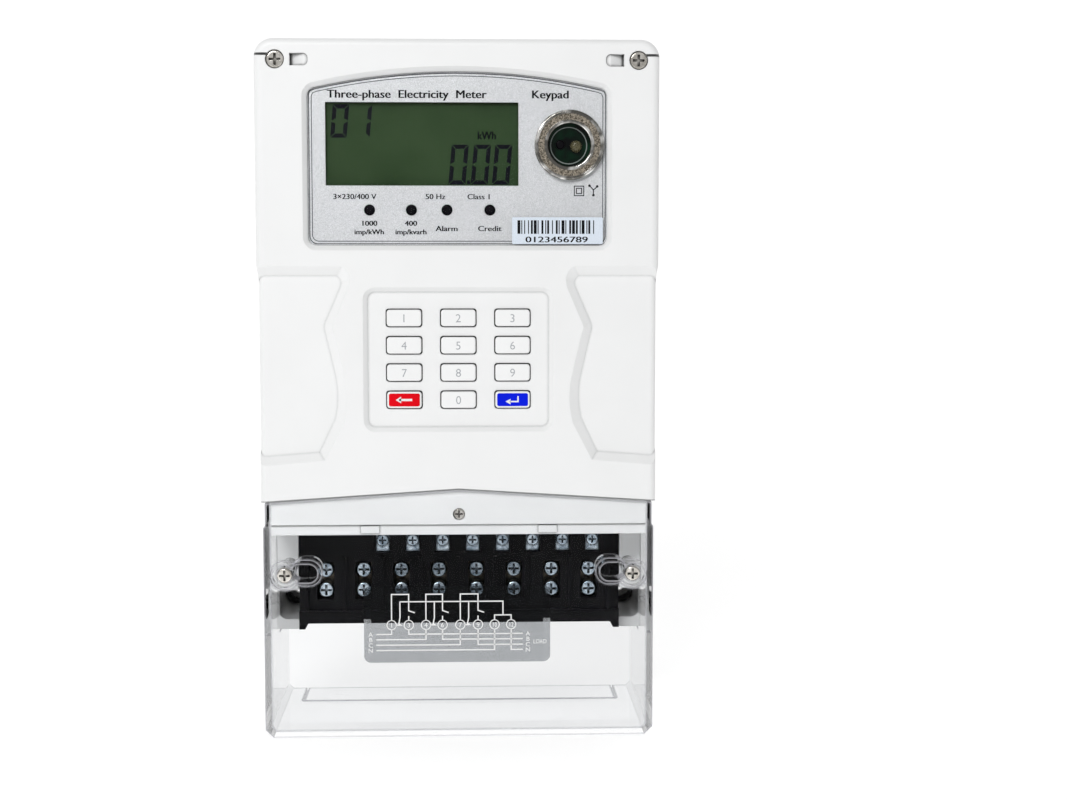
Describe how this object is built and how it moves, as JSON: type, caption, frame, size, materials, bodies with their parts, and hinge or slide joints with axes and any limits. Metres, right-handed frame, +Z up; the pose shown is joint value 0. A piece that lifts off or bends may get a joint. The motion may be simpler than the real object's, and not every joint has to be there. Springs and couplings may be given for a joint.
{
  "type": "prepaid electricity meter",
  "caption": "Three-phase prepaid electricity meter: white two-shell case, display window, optical port, keypad and a clear terminal cover.",
  "frame": {"origin": "on the back face, which lies on the wall, at the middle of the width and 150 mm below the case's top edge", "axes": "+X right, +Y into the wall, +Z up; the front faces -Y"},
  "size_m": [0.17, 0.08, 0.297],
  "materials": {
    "case_white": "fine-textured white ABS",
    "clear_cover": "clear polycarbonate",
    "clear_lens": "clear polycarbonate",
    "nameplate": "silver-grey printed plate",
    "label": "printed label",
    "lcd": "dark olive liquid crystal",
    "backlight": "diffusing acrylic",
    "black_plastic": "moulded black",
    "nickel": "nickel plated",
    "zinc": "bright zinc plated steel",
    "steel": "galvanised sheet",
    "brass": "brass",
    "copper": "copper bar",
    "port_dark": "dark green infrared window",
    "clear_led": "clear epoxy",
    "lamp": "dark tinted epoxy",
    "key_white": "white key cap",
    "key_red": "red key cap",
    "key_blue": "blue key cap",
    "rubber_mat": "silicone",
    "circuit_board": "green solder mask",
    "component": "moulded component",
    "core": "ferrite or laminated core",
    "ribbon": "grey ribbon"
  },
  "bodies": {
    "housing": {"rear_case": "case_white", "front_case": "case_white", "hanger_plate": "steel", "case_seal_screws": "nickel", "case_centre_screw": "nickel", "nameplate": "nameplate", "window_lens": "clear_lens", "barcode_label": "label", "lcd_panel": "lcd", "lcd_backlight": "backlight", "lcd_frame": "black_plastic", "optical_port_ring": "nickel", "optical_port_lens": "port_dark", "optical_emitter": "clear_led", "optical_receiver": "lamp", "led_kwh_pulse": "lamp", "led_kvarh_pulse": "lamp", "led_alarm": "lamp", "led_credit": "lamp", "keypad_mat": "rubber_mat", "display_board": "circuit_board", "display_board_screws": "zinc", "main_board": "circuit_board", "main_board_screws": "zinc", "board_cable": "ribbon", "relay_phase_a": "component", "relay_phase_b": "component", "relay_phase_c": "component", "current_transformer_a": "core", "current_transformer_b": "core", "current_transformer_c": "core", "power_transformer": "core", "backup_battery": "component", "buzzer": "component", "phase_busbars": "copper", "neutral_link": "copper", "terminal_block": "black_plastic", "main_terminal_cages": "brass", "main_terminal_screws": "zinc", "aux_terminal_screws": "zinc", "aux_terminal_plates": "zinc", "cover_screw_inserts": "brass"},
    "terminal_cover": {"terminal_cover": "clear_cover", "wiring_label": "clear_cover"},
    "cover_screw_left": {"cover_screw_left": "nickel"},
    "cover_screw_right": {"cover_screw_right": "nickel"},
    "key_1": {"key_1": "key_white"},
    "key_2": {"key_2": "key_white"},
    "key_3": {"key_3": "key_white"},
    "key_4": {"key_4": "key_white"},
    "key_5": {"key_5": "key_white"},
    "key_6": {"key_6": "key_white"},
    "key_7": {"key_7": "key_white"},
    "key_8": {"key_8": "key_white"},
    "key_9": {"key_9": "key_white"},
    "key_0": {"key_0": "key_white"},
    "key_backspace": {"key_backspace": "key_red"},
    "key_enter": {"key_enter": "key_blue"}
  },
  "joints": [
    {"name": "key_1_press", "type": "slide", "parent": "housing", "child": "key_1", "axis": [0, 1, 0], "range_m": [0, 0.001], "stiffness_N_per_m": 800, "springref_m": -0.0006},
    {"name": "key_2_press", "type": "slide", "parent": "housing", "child": "key_2", "axis": [0, 1, 0], "range_m": [0, 0.001], "stiffness_N_per_m": 800, "springref_m": -0.0006},
    {"name": "key_3_press", "type": "slide", "parent": "housing", "child": "key_3", "axis": [0, 1, 0], "range_m": [0, 0.001], "stiffness_N_per_m": 800, "springref_m": -0.0006},
    {"name": "key_4_press", "type": "slide", "parent": "housing", "child": "key_4", "axis": [0, 1, 0], "range_m": [0, 0.001], "stiffness_N_per_m": 800, "springref_m": -0.0006},
    {"name": "key_5_press", "type": "slide", "parent": "housing", "child": "key_5", "axis": [0, 1, 0], "range_m": [0, 0.001], "stiffness_N_per_m": 800, "springref_m": -0.0006},
    {"name": "key_6_press", "type": "slide", "parent": "housing", "child": "key_6", "axis": [0, 1, 0], "range_m": [0, 0.001], "stiffness_N_per_m": 800, "springref_m": -0.0006},
    {"name": "key_7_press", "type": "slide", "parent": "housing", "child": "key_7", "axis": [0, 1, 0], "range_m": [0, 0.001], "stiffness_N_per_m": 800, "springref_m": -0.0006},
    {"name": "key_8_press", "type": "slide", "parent": "housing", "child": "key_8", "axis": [0, 1, 0], "range_m": [0, 0.001], "stiffness_N_per_m": 800, "springref_m": -0.0006},
    {"name": "key_9_press", "type": "slide", "parent": "housing", "child": "key_9", "axis": [0, 1, 0], "range_m": [0, 0.001], "stiffness_N_per_m": 800, "springref_m": -0.0006},
    {"name": "key_0_press", "type": "slide", "parent": "housing", "child": "key_0", "axis": [0, 1, 0], "range_m": [0, 0.001], "stiffness_N_per_m": 800, "springref_m": -0.0006},
    {"name": "key_backspace_press", "type": "slide", "parent": "housing", "child": "key_backspace", "axis": [0, 1, 0], "range_m": [0, 0.001], "stiffness_N_per_m": 800, "springref_m": -0.0006},
    {"name": "key_enter_press", "type": "slide", "parent": "housing", "child": "key_enter", "axis": [0, 1, 0], "range_m": [0, 0.001], "stiffness_N_per_m": 800, "springref_m": -0.0006},
    {"name": "cover_lift_off", "type": "slide", "parent": "housing", "child": "terminal_cover", "axis": [0, -1, 0], "range_m": [0, 0.09]},
    {"name": "cover_screw_left_back_out", "type": "slide", "parent": "terminal_cover", "child": "cover_screw_left", "axis": [0, -1, 0], "range_m": [0, 0.009]},
    {"name": "cover_screw_right_back_out", "type": "slide", "parent": "terminal_cover", "child": "cover_screw_right", "axis": [0, -1, 0], "range_m": [0, 0.009]}
  ]
}
